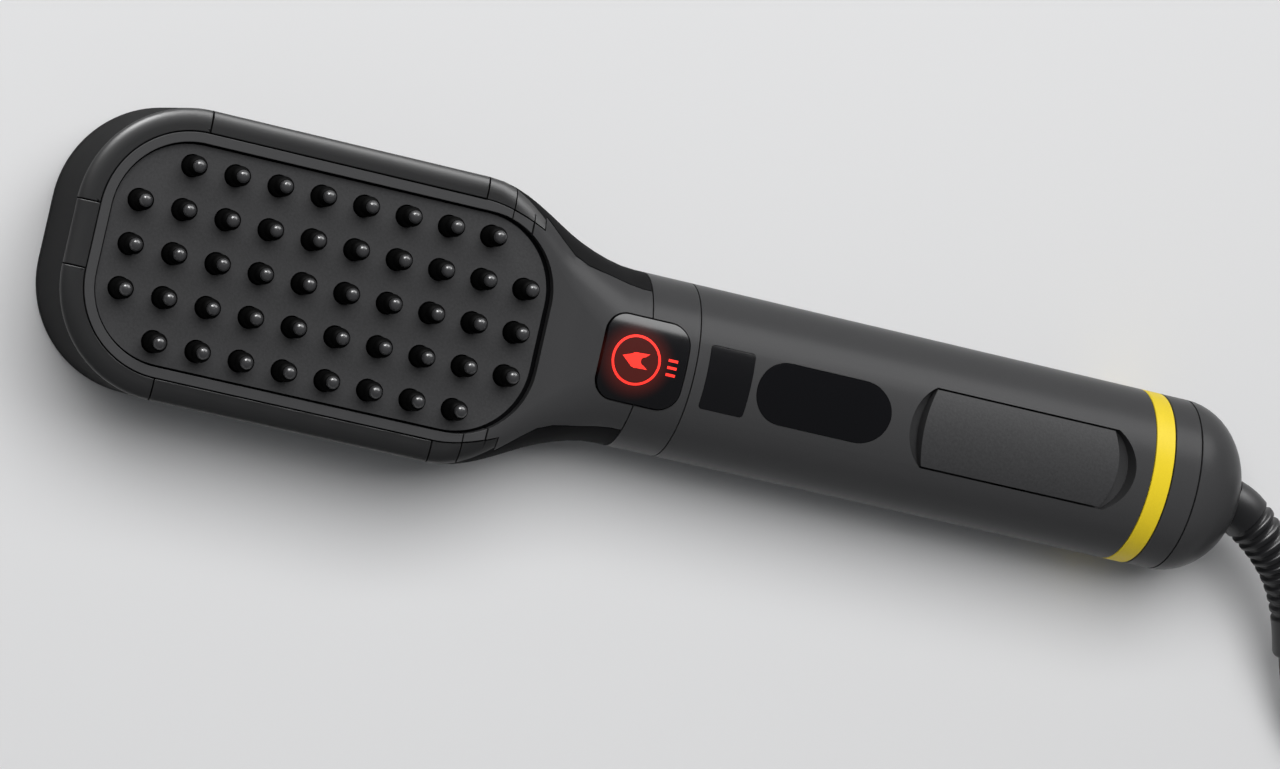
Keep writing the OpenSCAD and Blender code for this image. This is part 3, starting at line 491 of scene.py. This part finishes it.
class Paint:
    """Makes the material of each finish once."""

    def __init__(self) -> None:
        """Builds the shared groups and an empty store."""
        self.log = logging.getLogger("Paint")
        self.groups = {kind: pattern_group(PATTERNS[kind]) for kind in Surface}
        self.made: Dict[str, bpy.types.Material] = {}
        self.finishes = {finish.slot: finish for finish in FINISHES}

    def add_shader(self, make: NodeMaker, finish: Finish) -> bpy.types.Node:
        """Adds the surface's group and its shader.

        Args:
            make: Maker of the material's tree.
            finish: Finish to follow.

        Returns:
            The Principled BSDF node.
        """
        group = make.add("ShaderNodeGroup", node_tree=self.groups[finish.surface])
        given = {"Color": (*finish.colour, 1.0), "Roughness": finish.roughness,
                 "Grain Scale": finish.grain_scale, "Grain Colour": finish.grain_colour,
                 "Cloud Scale": finish.cloud_scale, "Cloud Amount": finish.cloud}
        for key, value in given.items():
            group.inputs[key].default_value = value
        bump = make.add("ShaderNodeBump", {
            "Height": group.outputs["Height"], "Distance": finish.bump * MM,
            "Strength": 1.0})
        return make.add("ShaderNodeBsdfPrincipled", {
            "Base Color": group.outputs["Base Color"],
            "Roughness": group.outputs["Roughness"], "Normal": bump.outputs[0],
            "Metallic": finish.metallic, "Specular IOR Level": finish.specular,
            "Transmission Weight": finish.clear})

    def material(self, slot: str) -> bpy.types.Material:
        """Returns the material of a slot.

        Args:
            slot: Name of the material slot.

        Returns:
            The material.
        """
        if slot in self.made:
            return self.made[slot]
        finish = self.finishes[slot]
        mat = bpy.data.materials.new(slot)
        mat.use_nodes = True
        mat.node_tree.nodes.clear()
        make = NodeMaker(mat.node_tree)
        shader = self.add_shader(make, finish)
        if finish.glow:
            shader.inputs["Emission Color"].default_value = (*finish.colour, 1.0)
            shader.inputs["Emission Strength"].default_value = finish.glow
        make.add("ShaderNodeOutputMaterial", {"Surface": shader.outputs[0]})
        self.made[slot] = mat
        self.log.info("material %s", slot)
        return mat

    def dress(self, obj: bpy.types.Object, slot: str) -> None:
        """Gives a piece the material of a slot.

        Args:
            obj: Piece.
            slot: Name of the material slot.
        """
        obj.data.materials.clear()
        obj.data.materials.append(self.material(slot))

    def light_up(self, name: str, halo: Halo) -> None:
        """Gives a node its own copy of its material, lit faintly round the ring.

        Args:
            name: Name of the node.
            halo: Light of the ring.
        """
        obj = frame["nodes"][name]
        low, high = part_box(name)
        centre = ((low[0] + high[0]) / 2 + halo.off * MM, (low[1] + high[1]) / 2, 0)
        mat = obj.material_slots[0].material.copy()
        mat.name = name + "_lit"
        make = NodeMaker(mat.node_tree)
        where = make.add("ShaderNodeTexCoord").outputs["Object"]
        flat = make.add("ShaderNodeVectorMath", {0: where, 1: (1, 1, 0)},
                        operation="MULTIPLY").outputs[0]
        apart = make.add("ShaderNodeVectorMath", {0: flat, 1: centre},
                         operation="DISTANCE").outputs["Value"]
        share = make.add("ShaderNodeMapRange", {
            0: apart, 1: halo.inner * MM, 2: halo.outer * MM, 3: 1.0, 4: 0.0},
            interpolation_type="SMOOTHSTEP").outputs[0]
        light = make.add("ShaderNodeVectorMath", {0: halo.colour, 3: share},
                         operation="SCALE").outputs[0]
        shader = mat.node_tree.nodes["Principled BSDF"]
        mat.node_tree.links.new(light, shader.inputs["Emission Color"])
        shader.inputs["Emission Strength"].default_value = 1.0
        obj.data.materials.clear()
        obj.data.materials.append(mat)
        self.log.info("%s lit round the ring", name)


# ---------------------------------------------------------------- mains cord


@dataclass(frozen=True)
class CordSize:
    """Sizes of the mains cord and its coil.

    Attributes:
        diameter: Thickness of the cord.
        sides: Sides of its tube.
        coil_radius: Radius of the coil's outer turn.
        coil_pitch: Distance between neighbouring turns of a layer.
        coil_layer: Height between layers.
        coil_half: Turns in a layer.
        coil_total: Turns in the whole coil.
        coil_climb: Share of a turn over which the cord climbs to the next layer.
        coil_steps: Points in a turn.
        coil_centre: Middle of the lowest layer.
        route: Way from the sleeve to the coil.
        route_steps: Points in a span of the route.
        tail: Way from the coil to the plug.
        tail_steps: Points in a span of the tail.
    """

    diameter: float = 6.5
    sides: int = 20
    coil_radius: float = 41.75
    coil_pitch: float = 7.3
    coil_layer: float = 7.3
    coil_half: float = 3.0
    coil_total: float = 8.5
    coil_climb: float = 0.5
    coil_steps: int = 48
    coil_centre: Point = (222.5, -20.25, 4.2)
    route: Tuple[Point, ...] = (
        (167.6, -32, 11.5), (171.3, -40, 9.4), (177, -48, 7.4), (185, -54.8, 5.6),
        (195, -59.2, 4.5), (205.5, -61.4, 4.2), (214, -62, 4.2), (222.5, -62, 4.2),
    )
    route_steps: int = 10
    tail: Tuple[Point, ...] = (
        (222.5, 3.25, 18.8), (214, 1.75, 21.2), (205.9, -3.05, 24.8),
        (199.7, -10.55, 27.3), (196.5, -19.75, 28.6), (197.5, -29.05, 29.05),
        (203.5, -35.55, 29.05), (212, -37.75, 29.05),
    )
    tail_steps: int = 8


@dataclass(frozen=True)
class SleeveSize:
    """Sizes of the ribbed sleeve at the cord's exit.

    Places along the sleeve are shares of its length.

    Attributes:
        path: Way of the sleeve, from the dome to the cord.
        path_steps: Points in a span of the path.
        start: Diameter at the dome.
        end: Diameter at the cord.
        taper_at: Place where the taper begins.
        taper_span: Length of the taper.
        ribs: Number of ribs.
        ribs_at: Place of the first groove.
        ribs_span: Length of the ribbed stretch.
        groove_depth: Depth of the grooves.
        groove_gain: Steepness of the grooves' walls.
        groove_shift: How much of each wave is left to the ribs' crowns.
        round_at: Place where the end starts to round off.
        round_off: Fall of the radius at the rounded end.
        neck: Wall of the hidden end inside the dome.
        neck_length: Length of that hidden end.
        shoulder: Its distance from the visible sleeve.
        sides: Sides of the tube.
        sharp: Angle in degrees above which an edge stays sharp.
    """

    path: Tuple[Point, ...] = (
        (139.5, -1, 20), (144.2, -2.8, 20), (150.2, -6.9, 19.5), (155.8, -12, 18),
        (160.7, -18.2, 16), (164.5, -25, 14), (167.6, -32, 11.5),
    )
    path_steps: int = 40
    start: float = 12.2
    end: float = 9.2
    taper_at: float = 0.05
    taper_span: float = 0.65
    ribs: int = 10
    ribs_at: float = 0.2
    ribs_span: float = 0.6
    groove_depth: float = 1.0
    groove_gain: float = 1.6
    groove_shift: float = 0.3
    round_at: float = 0.97
    round_off: float = 1.1
    neck: float = 0.8
    neck_length: float = 9.0
    shoulder: float = 0.6
    sides: int = 48
    sharp: float = 60.0


class MainsCord:
    """The ribbed sleeve, the cord and its coil."""

    def __init__(self, size: CordSize, sleeve: SleeveSize, paint: Paint) -> None:
        """Keeps the sizes.

        Args:
            size: Sizes of the cord.
            sleeve: Sizes of the sleeve.
            paint: Store of materials.
        """
        self.log = logging.getLogger("MainsCord")
        self.size = size
        self.sleeve = sleeve
        self.paint = paint

    def coil(self) -> List[Vector]:
        """Returns the coil's centreline: inward, outward and inward again.

        Returns:
            Points in mm, three layers from the bottom up.
        """
        size = self.size
        whole = 2 * size.coil_half
        out = []
        for i in range(round(size.coil_total * size.coil_steps) + 1):
            t = i / size.coil_steps
            turns = min(t, whole - t) if t < whole else t - whole
            r = size.coil_radius - size.coil_pitch * turns
            a = 2 * math.pi * t
            climbs = [smooth((t - at) / size.coil_climb + 0.5)
                      for at in (size.coil_half, whole)]
            rise = size.coil_layer * sum(climbs)
            out.append(Vector(size.coil_centre)
                       + Vector((r * math.sin(a), -r * math.cos(a), rise)))
        return out

    def path(self) -> List[Vector]:
        """Returns the cord's centreline from the sleeve to the plug.

        Returns:
            Points in mm.
        """
        size = self.size
        return (curve(size.route, size.route_steps)[:-1] + self.coil()[:-1]
                + curve(size.tail, size.tail_steps))

    def build_cord(self) -> bpy.types.Object:
        """Returns:
            The cord.
        """
        points = self.path()
        radii = [self.size.diameter / 2] * len(points)
        obj = make_object("mains_cord", sweep(points, radii, self.size.sides))
        self.paint.dress(obj, "cord_black")
        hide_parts("cord", "cord_coil", "cord_tail")
        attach(obj, MAIN_BODY)
        length = length_of(points) * MM
        self.log.info("cord of %.3f m", length)
        return obj

    def sleeve_radius(self, t: float) -> float:
        """Returns the sleeve's radius.

        Args:
            t: Share of the way along the sleeve.

        Returns:
            Radius in mm.
        """
        size = self.sleeve
        share = smooth((t - size.taper_at) / size.taper_span)
        taper = mix(size.start, size.end, share) / 2
        if t > size.round_at:
            off = (t - size.round_at) / (1 - size.round_at)
            return taper - size.round_off * (1 - math.sqrt(max(0.0, 1 - off * off)))
        u = (t - size.ribs_at) / size.ribs_span
        if 0 < u < 1:
            wave = 0.5 - 0.5 * math.cos(2 * math.pi * u * size.ribs)
            cut = smooth(size.groove_gain * wave - size.groove_shift)
            return taper - size.groove_depth * cut
        return taper

    def build_sleeve(self) -> bpy.types.Object:
        """Builds the sleeve with its ribs.

        Returns:
            The sleeve.
        """
        size = self.sleeve
        path = curve(size.path, size.path_steps)
        last = len(path) - 1
        back = (path[0] - path[1]).normalized()
        inside = [path[0] + back * size.neck_length, path[0] + back * size.shoulder]
        radii = [self.size.diameter / 2 + size.neck] * 2
        radii += [self.sleeve_radius(i / last) for i in range(last + 1)]
        tube = sweep(inside + path, radii, size.sides)
        obj = make_object("cord_sleeve", tube, size.sharp)
        self.paint.dress(obj, "sleeve_rubber")
        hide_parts("strain_relief")
        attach(obj, MAIN_BODY)
        self.log.info("sleeve with %d ribs", size.ribs)
        return obj


# ---------------------------------------------------------------------- pins


@dataclass(frozen=True)
class PinSize:
    """Sizes of the heated pins and where they stand.

    Attributes:
        columns: Pins along the brush.
        rows: Pins across it.
        pitch: Distance between neighbours.
        first: Distance of the first column from the tip.
        brush: Length of the brush.
        diameter: Thickness of a pin.
        floor: Height at which a pin starts.
        panel: Height of the face panel.
        height: Height of the ball's middle over the panel.
        shoulder: Height of the ball's middle over the pin's straight part.
        dome: Height of the rounded part.
        dome_steps: Steps of the rounded part.
        ball: Diameter of the tip ball.
        ball_seat: How far inside the ball the rounded part ends.
        ball_low: Angle in radians at which the ball starts.
        ball_top: Angle in radians left flat round the ball's pole.
        ball_steps: Steps from the ball's bottom to its top.
        sides: Sides of a pin.
        slack: How near the outermost row counts as on it.
    """

    columns: int = 10
    rows: int = 5
    pitch: float = 9.8
    first: float = 13.325
    brush: float = 281.6
    diameter: float = 4.5
    floor: float = 31.5
    panel: float = 33.0
    height: float = 8.5
    shoulder: float = 3.0
    dome: float = 1.9
    dome_steps: int = 8
    ball: float = 2.9
    ball_seat: float = 0.25
    ball_low: float = -0.86
    ball_top: float = 0.02
    ball_steps: int = 12
    sides: int = 28
    slack: float = 0.1


class PinField:
    """The rows of round pins, each with a small ball on its tip."""

    def __init__(self, size: PinSize, paint: Paint) -> None:
        """Keeps the sizes.

        Args:
            size: Sizes of the pins.
            paint: Store of materials.
        """
        self.log = logging.getLogger("PinField")
        self.size = size
        self.paint = paint

    @staticmethod
    def field_group() -> bpy.types.NodeTree:
        """Makes a geometry group that stands a shape on a grid without its corners.

        Returns:
            The group's tree.
        """
        tree = new_group(
            "Pin field", "GeometryNodeTree",
            {"Geometry": "Geometry", "Columns": "Int", "Rows": "Int", "Pitch": "Float",
             "Slack": "Float", "Shape": "Object", "Finish": "Material"},
            {"Geometry": "Geometry"})
        make = NodeMaker(tree)
        given = make.add("NodeGroupInput").outputs
        steps = [make.maths("SUBTRACT", given[key], 1) for key in ("Columns", "Rows")]
        spans = [make.maths("MULTIPLY", step, given["Pitch"]) for step in steps]
        halves = [make.maths("MULTIPLY", span, 0.5) for span in spans]
        edges = [make.maths("SUBTRACT", half, given["Slack"]) for half in halves]
        grid = make.add("GeometryNodeMeshGrid", {
            "Size X": spans[0], "Size Y": spans[1], "Vertices X": given["Columns"],
            "Vertices Y": given["Rows"]})
        place = make.add("ShaderNodeSeparateXYZ", {
            0: make.add("GeometryNodeInputPosition").outputs[0]}).outputs
        far = [make.maths("GREATER_THAN", make.maths("ABSOLUTE", place[i]), edges[i])
               for i in range(2)]
        kept = make.add("GeometryNodeDeleteGeometry", {
            "Geometry": grid.outputs["Mesh"],
            "Selection": make.maths("MULTIPLY", far[0], far[1])}, domain="POINT")
        shape = make.add("GeometryNodeObjectInfo", {"Object": given["Shape"]})
        stood = make.add("GeometryNodeInstanceOnPoints", {
            "Points": kept.outputs[0], "Instance": shape.outputs["Geometry"]})
        real = make.add("GeometryNodeRealizeInstances", {0: stood.outputs[0]})
        done = make.add("GeometryNodeSetMaterial", {
            "Geometry": real.outputs[0], "Material": given["Finish"]})
        make.add("NodeGroupOutput", {"Geometry": done.outputs[0]})
        return tree

    def build_field(self, name: str, profile: Sequence[Tuple[float, float]],
                    group: bpy.types.NodeTree, slot: str) -> bpy.types.Object:
        """Stands a turned shape on the grid as one plain piece.

        Args:
            name: Name of the node that the piece replaces.
            profile: Radius and height pairs of the shape.
            group: The grid's group.
            slot: Material slot.

        Returns:
            The piece.
        """
        size = self.size
        shape = make_object(name + "_shape", turned(profile, size.sides))
        holder = add_object("holder", bpy.data.meshes.new("holder"))
        add_group_modifier(holder, "Field", group, {
            "Columns": size.columns, "Rows": size.rows, "Pitch": size.pitch * MM,
            "Slack": size.slack * MM, "Shape": shape,
            "Finish": self.paint.material(slot)})
        mesh = bpy.data.meshes.new_from_object(
            holder.evaluated_get(bpy.context.evaluated_depsgraph_get()))
        middle = size.first + (size.columns - 1) * size.pitch / 2
        mesh.transform(Matrix.Translation(((middle - size.brush / 2) * MM, 0, 0)))
        obj = add_object(name + "_field", mesh)
        for spare in (holder, shape):
            bpy.data.objects.remove(spare)
        self.paint.dress(obj, slot)
        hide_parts(name)
        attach(obj, MAIN_BODY)
        self.log.info("%d faces in %s", len(mesh.polygons), obj.name)
        return obj

    def build(self) -> List[bpy.types.Object]:
        """Builds the pins and their tip balls.

        Returns:
            The two pieces.
        """
        size = self.size
        group = self.field_group()
        r = size.diameter / 2
        ball = size.ball / 2
        seat = ball - size.ball_seat
        middle = size.panel + size.height
        shoulder = middle - size.shoulder
        pin = [(r, size.floor), (r, shoulder)]
        for k in range(1, size.dome_steps + 1):
            a = math.pi / 2 * k / size.dome_steps
            pin.append((seat + (r - seat) * math.cos(a),
                        shoulder + size.dome * math.sin(a)))
        tip = []
        for k in range(size.ball_steps + 1):
            a = mix(size.ball_low, math.pi / 2 - size.ball_top, k / size.ball_steps)
            tip.append((ball * math.cos(a), middle + ball * math.sin(a)))
        return [self.build_field("heat_pins", pin, group, "pin_black"),
                self.build_field("pin_tips", tip, group, "tip_grey")]


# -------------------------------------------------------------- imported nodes


@dataclass(frozen=True)
class EdgeSize:
    """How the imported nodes' edges are shaded and softened.

    Attributes:
        merge: Distance in mm at which loose corners become one.
        sharp: Angle in degrees above which an edge is shaded sharp.
        softened: Angle in degrees above which an edge is rounded.
        segments: Steps of the rounding.
        widths: Width in mm of the rounding of each node that has one.
    """

    merge: float = 0.002
    sharp: float = 32.0
    softened: float = 40.0
    segments: int = 2
    widths: Tuple[Tuple[float, Tuple[str, ...]], ...] = (
        (0.1, ("inlay_plate",)),
        (0.12, ("bezel", "bezel_end_left", "bezel_end_right", "rim_tip",
                "rim_corner_left", "rim_corner_right", "rim_rail_left",
                "rim_rail_right", "rim_shoulder_left", "rim_shoulder_right",
                "rim_end_left", "rim_end_right")),
        (0.15, ("steam_rocker", "display_window", "neck_cover")),
        (0.2, ("handle_shell", "power_button", "accent_ring", "end_band", "end_dome",
               "collar", "head_housing", "filler_plug", "cord_tie")),
        (0.4, ("rear_cover",)),
        (2.0, ("plug",)),
    )


class CadDress:
    """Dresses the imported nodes: soft shading, fine edges and materials."""

    def __init__(self, size: EdgeSize, paint: Paint) -> None:
        """Builds the shading group.

        Args:
            size: Sizes of the edges.
            paint: Store of materials.
        """
        self.size = size
        self.paint = paint
        self.widths = {name: width for width, names in size.widths for name in names}
        self.group = self.shading_group()

    @staticmethod
    def shading_group() -> bpy.types.NodeTree:
        """Makes a geometry group that merges loose triangles and shades by angle.

        Returns:
            The group's tree.
        """
        tree = new_group(
            "Soft shading", "GeometryNodeTree",
            {"Geometry": "Geometry", "Merge Distance": "Float", "Sharp Angle": "Float"},
            {"Geometry": "Geometry"})
        make = NodeMaker(tree)
        given = make.add("NodeGroupInput").outputs
        merged = make.add("GeometryNodeMergeByDistance", {
            "Geometry": given["Geometry"], "Distance": given["Merge Distance"]})
        soft = make.add("GeometryNodeSetShadeSmooth", {
            "Geometry": merged.outputs[0], "Shade Smooth": True}, domain="FACE")
        angle = make.add("GeometryNodeInputMeshEdgeAngle").outputs["Unsigned Angle"]
        over = make.add("FunctionNodeCompare", {0: angle, 1: given["Sharp Angle"]},
                        operation="GREATER_THAN").outputs[0]
        crisp = make.add("GeometryNodeSetShadeSmooth", {
            "Geometry": soft.outputs[0], "Selection": over, "Shade Smooth": False},
            domain="EDGE")
        make.add("NodeGroupOutput", {"Geometry": crisp.outputs[0]})
        return tree

    def dress(self, name: str, slot: str) -> bpy.types.Object:
        """Dresses one node.

        Args:
            name: Name of the node.
            slot: Material slot.

        Returns:
            The node's object.
        """
        obj = frame["nodes"][name]
        add_group_modifier(obj, "Soft shading", self.group, {
            "Merge Distance": self.size.merge * MM,
            "Sharp Angle": math.radians(self.size.sharp)})
        if name in self.widths:
            edge = obj.modifiers.new("Edge", "BEVEL")
            edge.width = self.widths[name] * MM
            edge.segments = self.size.segments
            edge.limit_method = "ANGLE"
            edge.angle_limit = math.radians(self.size.softened)
            edge.use_clamp_overlap = True
        obj.modifiers.new("Weighted", "WEIGHTED_NORMAL").keep_sharp = True
        self.paint.dress(obj, slot)
        return obj

    def build(self, made: Sequence[str]) -> List[bpy.types.Object]:
        """Dresses every node that no finer piece replaces.

        Args:
            made: Names of the nodes that finer pieces replace.

        Returns:
            The dressed nodes.
        """
        return [self.dress(part["node"], part["material_slot"])
                for part in frame["record"]["subparts"] if part["node"] not in made]


# --------------------------------------------------------------------- stage


@dataclass(frozen=True)
class CameraSize:
    """The camera that took the picture, in the brush's frame.

    Attributes:
        lens: Focal length.
        sensor: Width of the sensor.
        near: Nearest distance that it sees.
        far: Farthest distance that it sees.
        place: Its place.
        right: Direction of the picture's right.
        up: Direction of the picture's top.
        back: Direction from the object to the camera.
    """

    lens: float = 152.7
    sensor: float = 36.0
    near: float = 50.0
    far: float = 20000.0
    place: Point = (-335.05, -16.4, 1197.0)
    right: Point = (0.93837, 0.22117, 0.26561)
    up: Point = (-0.21544, 0.97519, -0.05093)
    back: Point = (-0.27028, -0.00943, 0.96273)


@dataclass(frozen=True)
class Softbox:
    """A soft light.

    Attributes:
        name: Name of the light.
        place: Place in metres.
        size: Width and height in metres.
        power: Power in watts.
        glossy: Whether reflections show it.
        diffuse: Whether it lights matt surfaces.
    """

    name: str
    place: Point
    size: Tuple[float, float]
    power: float
    glossy: bool = True
    diffuse: bool = True


@dataclass(frozen=True)
class Surroundings:
    """The pale floor and the light that comes from all round.

    Attributes:
        light: Colour of the light from all round.
        strength: Strength of that light.
        half: Half of the floor's width.
        darker: Colour of the floor where it is darker.
        paler: Colour of the floor where it is paler.
        patches: Scale of the floor's patches.
        roughness: Roughness of the floor.
    """

    light: Colour = (0.95, 0.97, 1.0)
    strength: float = 0.12
    half: float = 3000.0
    darker: Colour = (0.8, 0.8, 0.805)
    paler: Colour = (0.84, 0.84, 0.845)
    patches: float = 2.0
    roughness: float = 0.85


LIGHTS = (
    Softbox("key", (-0.15, 0.58, 1.28), (1.4, 1.0), 21.0, glossy=False),
    Softbox("card", (0.36, 1.2, 0.62), (1.5, 0.85), 31.0, diffuse=False),
    Softbox("corner_card", (-0.72, 1.1, 0.62), (0.6, 0.6), 36.0, diffuse=False),
)


class Stage:
    """Camera, floor and lights."""

    def __init__(self, camera: CameraSize, lights: Sequence[Softbox],
                 around: Surroundings) -> None:
        """Keeps the sizes.

        Args:
            camera: Camera.
            lights: Soft lights.
            around: Floor and light from all round.
        """
        self.log = logging.getLogger("Stage")
        self.camera = camera
        self.lights = lights
        self.around = around

    def build_camera(self) -> None:
        """Places the camera."""
        data = bpy.data.cameras.new("camera")
        data.lens = self.camera.lens
        data.sensor_width = self.camera.sensor
        data.clip_start = self.camera.near * MM
        data.clip_end = self.camera.far * MM
        obj = bpy.data.objects.new("camera", data)
        bpy.context.scene.collection.objects.link(obj)
        rows = Matrix((self.camera.right, self.camera.up, self.camera.back))
        move = Matrix.Translation(Vector(self.camera.place) * MM)
        obj.matrix_world = move @ rows.transposed().to_4x4()
        bpy.context.scene.camera = obj
        self.log.info("camera with a %.1f mm lens", data.lens)

    def build_light(self, box: Softbox) -> None:
        """Places a soft light that faces the object.

        Args:
            box: The light.
        """
        data = bpy.data.lights.new(box.name, "AREA")
        data.shape = "RECTANGLE"
        data.size, data.size_y = box.size
        data.energy = box.power
        obj = bpy.data.objects.new(box.name, data)
        bpy.context.scene.collection.objects.link(obj)
        place = Vector(box.place)
        turn = (-place).to_track_quat("-Z", "Y").to_matrix().to_4x4()
        obj.matrix_world = Matrix.Translation(place) @ turn
        obj.visible_glossy = box.glossy
        obj.visible_diffuse = box.diffuse
        self.log.info("light %s", box.name)

    def build_lights(self) -> None:
        """Places the soft lights and the surroundings."""
        for box in self.lights:
            self.build_light(box)
        world = bpy.data.worlds.new("surroundings")
        world.use_nodes = True
        back = world.node_tree.nodes["Background"]
        back.inputs["Color"].default_value = (*self.around.light, 1.0)
        back.inputs["Strength"].default_value = self.around.strength
        bpy.context.scene.world = world
        bpy.context.scene.view_settings.view_transform = "Standard"

    def build_floor(self) -> None:
        """Lays the pale floor."""
        half = self.around.half
        corners = [(-half, -half, 0), (half, -half, 0), (half, half, 0),
                   (-half, half, 0)]
        obj = make_object("floor", (corners, [(0, 1, 2, 3)]))
        mat = bpy.data.materials.new("floor")
        mat.use_nodes = True
        make = NodeMaker(mat.node_tree)
        noise = make.add("ShaderNodeTexNoise", {
            "Vector": make.add("ShaderNodeTexCoord").outputs["Object"],
            "Scale": self.around.patches})
        ramp = make.add("ShaderNodeValToRGB", {0: noise.outputs[0]})
        ramp.color_ramp.elements[0].color = (*self.around.darker, 1)
        ramp.color_ramp.elements[1].color = (*self.around.paler, 1)
        shader = mat.node_tree.nodes["Principled BSDF"]
        mat.node_tree.links.new(ramp.outputs[0], shader.inputs["Base Color"])
        shader.inputs["Roughness"].default_value = self.around.roughness
        shader.inputs["Specular IOR Level"].default_value = 0.0
        obj.data.materials.append(mat)
        self.log.info("floor")


def note_size() -> None:
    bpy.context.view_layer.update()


def main() -> None:
    """Builds the scene and reports each piece."""
    log = logging.getLogger("main")
    note_size()
    stage = Stage(CameraSize(), LIGHTS, Surroundings())
    stage.build_camera()
    paint = Paint()
    cord = MainsCord(CordSize(), SleeveSize(), paint)
    pieces = [cord.build_cord(), cord.build_sleeve()]
    pieces += PinField(PinSize(), paint).build()
    made = ("cord", "cord_coil", "cord_tail", "strain_relief", "heat_pins", "pin_tips")
    pieces += CadDress(EdgeSize(), paint).build(made)
    for piece in pieces:
        log.info("piece %s", piece.name)
    paint.light_up("power_button", Halo())
    stage.build_lights()
    stage.build_floor()
    note_size()


if __name__ == "__main__":
    main()
